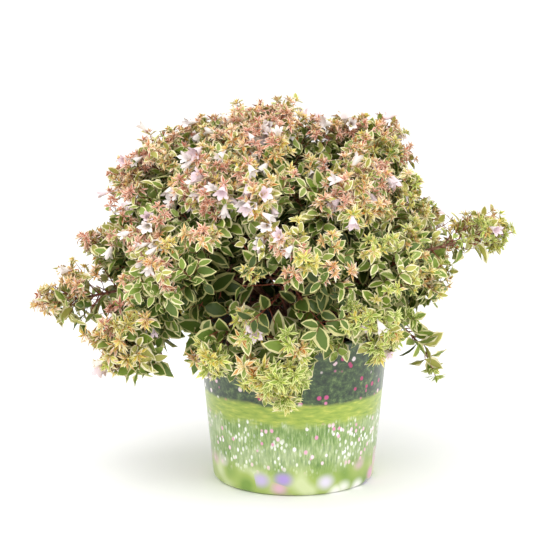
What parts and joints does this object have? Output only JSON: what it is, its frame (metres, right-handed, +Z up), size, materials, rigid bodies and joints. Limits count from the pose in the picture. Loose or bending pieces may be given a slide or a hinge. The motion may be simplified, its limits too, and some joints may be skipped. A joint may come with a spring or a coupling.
{
  "type": "potted shrub",
  "caption": "Bushy flowering shrub with arching leafy branches that spill over a tapered round plastic nursery pot with a printed outside",
  "frame": {"origin": "centre of the pot's flat underside, on the surface it stands on", "axes": "+Z up, +X along the longest side branch, which is to the right as pictured, -Y towards the pictured front"},
  "size_m": [0.4685, 0.3711, 0.3784],
  "materials": {
    "pot": "satin",
    "soil": "rough",
    "bark": "rough",
    "foliage": "satin"
  },
  "bodies": {
    "root": {"bough_crown_front_left": "bark", "bough_crown_left_back": "bark", "bough_crown_right": "bark", "bough_crown_top": "bark", "bough_hanging_back_left": "bark", "bough_hanging_back_right": "bark", "bough_hanging_front": "bark", "bough_hanging_front_left": "bark", "bough_hanging_front_right": "bark", "bough_hanging_left": "bark", "bough_hanging_right": "bark", "bough_middle_back": "bark", "bough_middle_back_right": "bark", "bough_middle_front": "bark", "bough_middle_front_left": "bark", "bough_middle_front_right": "bark", "bough_middle_left": "bark", "bough_middle_left_back": "bark", "bough_middle_right": "bark", "bough_spray_left_long": "bark", "bough_spray_right_long": "bark", "bough_upper_back": "bark", "bough_upper_back_right": "bark", "bough_upper_front_left": "bark", "bough_upper_front_right": "bark", "bough_upper_left": "bark", "bough_upper_left_back": "bark", "bough_upper_right": "bark", "foliage_crown_front_left": "foliage", "foliage_crown_left_back": "foliage", "foliage_crown_right": "foliage", "foliage_crown_top": "foliage", "foliage_hanging_back_left": "foliage", "foliage_hanging_back_right": "foliage", "foliage_hanging_front": "foliage", "foliage_hanging_front_left": "foliage", "foliage_hanging_front_right": "foliage", "foliage_hanging_left": "foliage", "foliage_hanging_right": "foliage", "foliage_middle_back": "foliage", "foliage_middle_back_right": "foliage", "foliage_middle_front": "foliage", "foliage_middle_front_left": "foliage", "foliage_middle_front_right": "foliage", "foliage_middle_left": "foliage", "foliage_middle_left_back": "foliage", "foliage_middle_right": "foliage", "foliage_spray_left_long": "foliage", "foliage_spray_right_long": "foliage", "foliage_upper_back": "foliage", "foliage_upper_back_right": "foliage", "foliage_upper_front_left": "foliage", "foliage_upper_front_right": "foliage", "foliage_upper_left": "foliage", "foliage_upper_left_back": "foliage", "foliage_upper_right": "foliage", "pot": "pot", "soil": "soil", "stool": "bark"}
  },
  "joints": []
}
